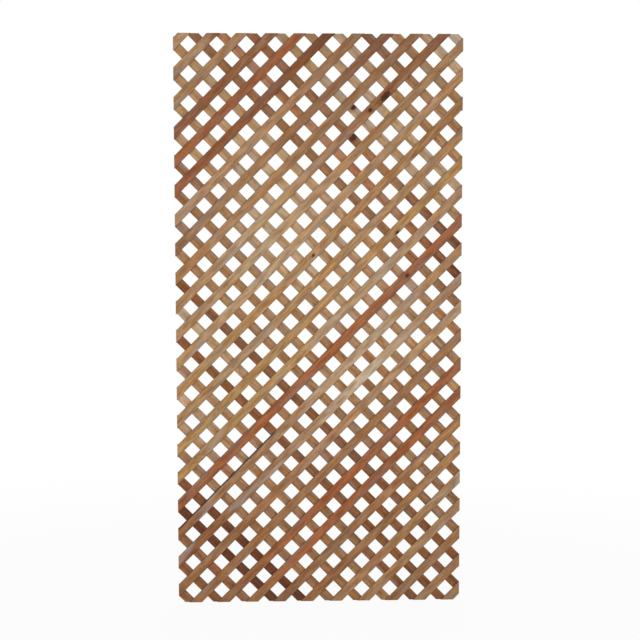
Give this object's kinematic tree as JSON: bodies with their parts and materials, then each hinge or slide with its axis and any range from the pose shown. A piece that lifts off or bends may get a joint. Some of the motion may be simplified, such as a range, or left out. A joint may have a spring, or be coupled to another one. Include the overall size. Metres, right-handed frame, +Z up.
{
  "type": "lattice panel",
  "caption": "Tall rectangular wooden lattice panel of crossed diagonal slats, trimmed flush with no frame, for screening and for plants to climb.",
  "frame": {"origin": "middle of the panel's bottom edge, at half its thickness", "axes": "+Z up the panel's long side, +X to the right seen from the front, +Y through the panel to its back; the front slats face -Y"},
  "size_m": [1.219, 0.013, 2.432],
  "materials": {
    "pale_wood": "matte",
    "light_tan_wood": "matte",
    "golden_tan_wood": "matte",
    "tan_wood": "matte",
    "brown_wood": "matte",
    "red_brown_wood": "matte",
    "dark_brown_wood": "matte",
    "deep_brown_wood": "matte",
    "galvanised_steel": "satin"
  },
  "bodies": {
    "root": {"front_slat_01": "tan_wood", "front_slat_02": "tan_wood", "front_slat_03": "tan_wood", "front_slat_04": "red_brown_wood", "front_slat_05": "red_brown_wood", "front_slat_06": "red_brown_wood", "front_slat_07": "tan_wood", "front_slat_08": "tan_wood", "front_slat_09": "tan_wood", "front_slat_10": "tan_wood", "front_slat_11": "golden_tan_wood", "front_slat_12": "golden_tan_wood", "front_slat_13": "golden_tan_wood", "front_slat_14": "golden_tan_wood", "front_slat_15": "golden_tan_wood", "front_slat_16": "golden_tan_wood", "front_slat_17": "red_brown_wood", "front_slat_18": "light_tan_wood", "front_slat_19": "light_tan_wood", "front_slat_20": "light_tan_wood", "front_slat_21": "brown_wood", "front_slat_22": "red_brown_wood", "front_slat_23": "red_brown_wood", "front_slat_24": "tan_wood", "front_slat_25": "tan_wood", "front_slat_26": "tan_wood", "front_slat_27": "tan_wood", "front_slat_28": "brown_wood", "front_slat_29": "tan_wood", "front_slat_30": "tan_wood", "back_slat_01": "red_brown_wood", "back_slat_02": "red_brown_wood", "back_slat_03": "red_brown_wood", "back_slat_04": "deep_brown_wood", "back_slat_05": "deep_brown_wood", "back_slat_06": "tan_wood", "back_slat_07": "tan_wood", "back_slat_08": "tan_wood", "back_slat_09": "brown_wood", "back_slat_10": "dark_brown_wood", "back_slat_11": "tan_wood", "back_slat_12": "dark_brown_wood", "back_slat_13": "tan_wood", "back_slat_14": "tan_wood", "back_slat_15": "tan_wood", "back_slat_16": "tan_wood", "back_slat_17": "light_tan_wood", "back_slat_18": "light_tan_wood", "back_slat_19": "light_tan_wood", "back_slat_20": "light_tan_wood", "back_slat_21": "brown_wood", "back_slat_22": "brown_wood", "back_slat_23": "brown_wood", "back_slat_24": "light_tan_wood", "back_slat_25": "light_tan_wood", "back_slat_26": "light_tan_wood", "back_slat_27": "brown_wood", "back_slat_28": "tan_wood", "back_slat_29": "pale_wood", "back_slat_30": "pale_wood"}
  },
  "joints": []
}
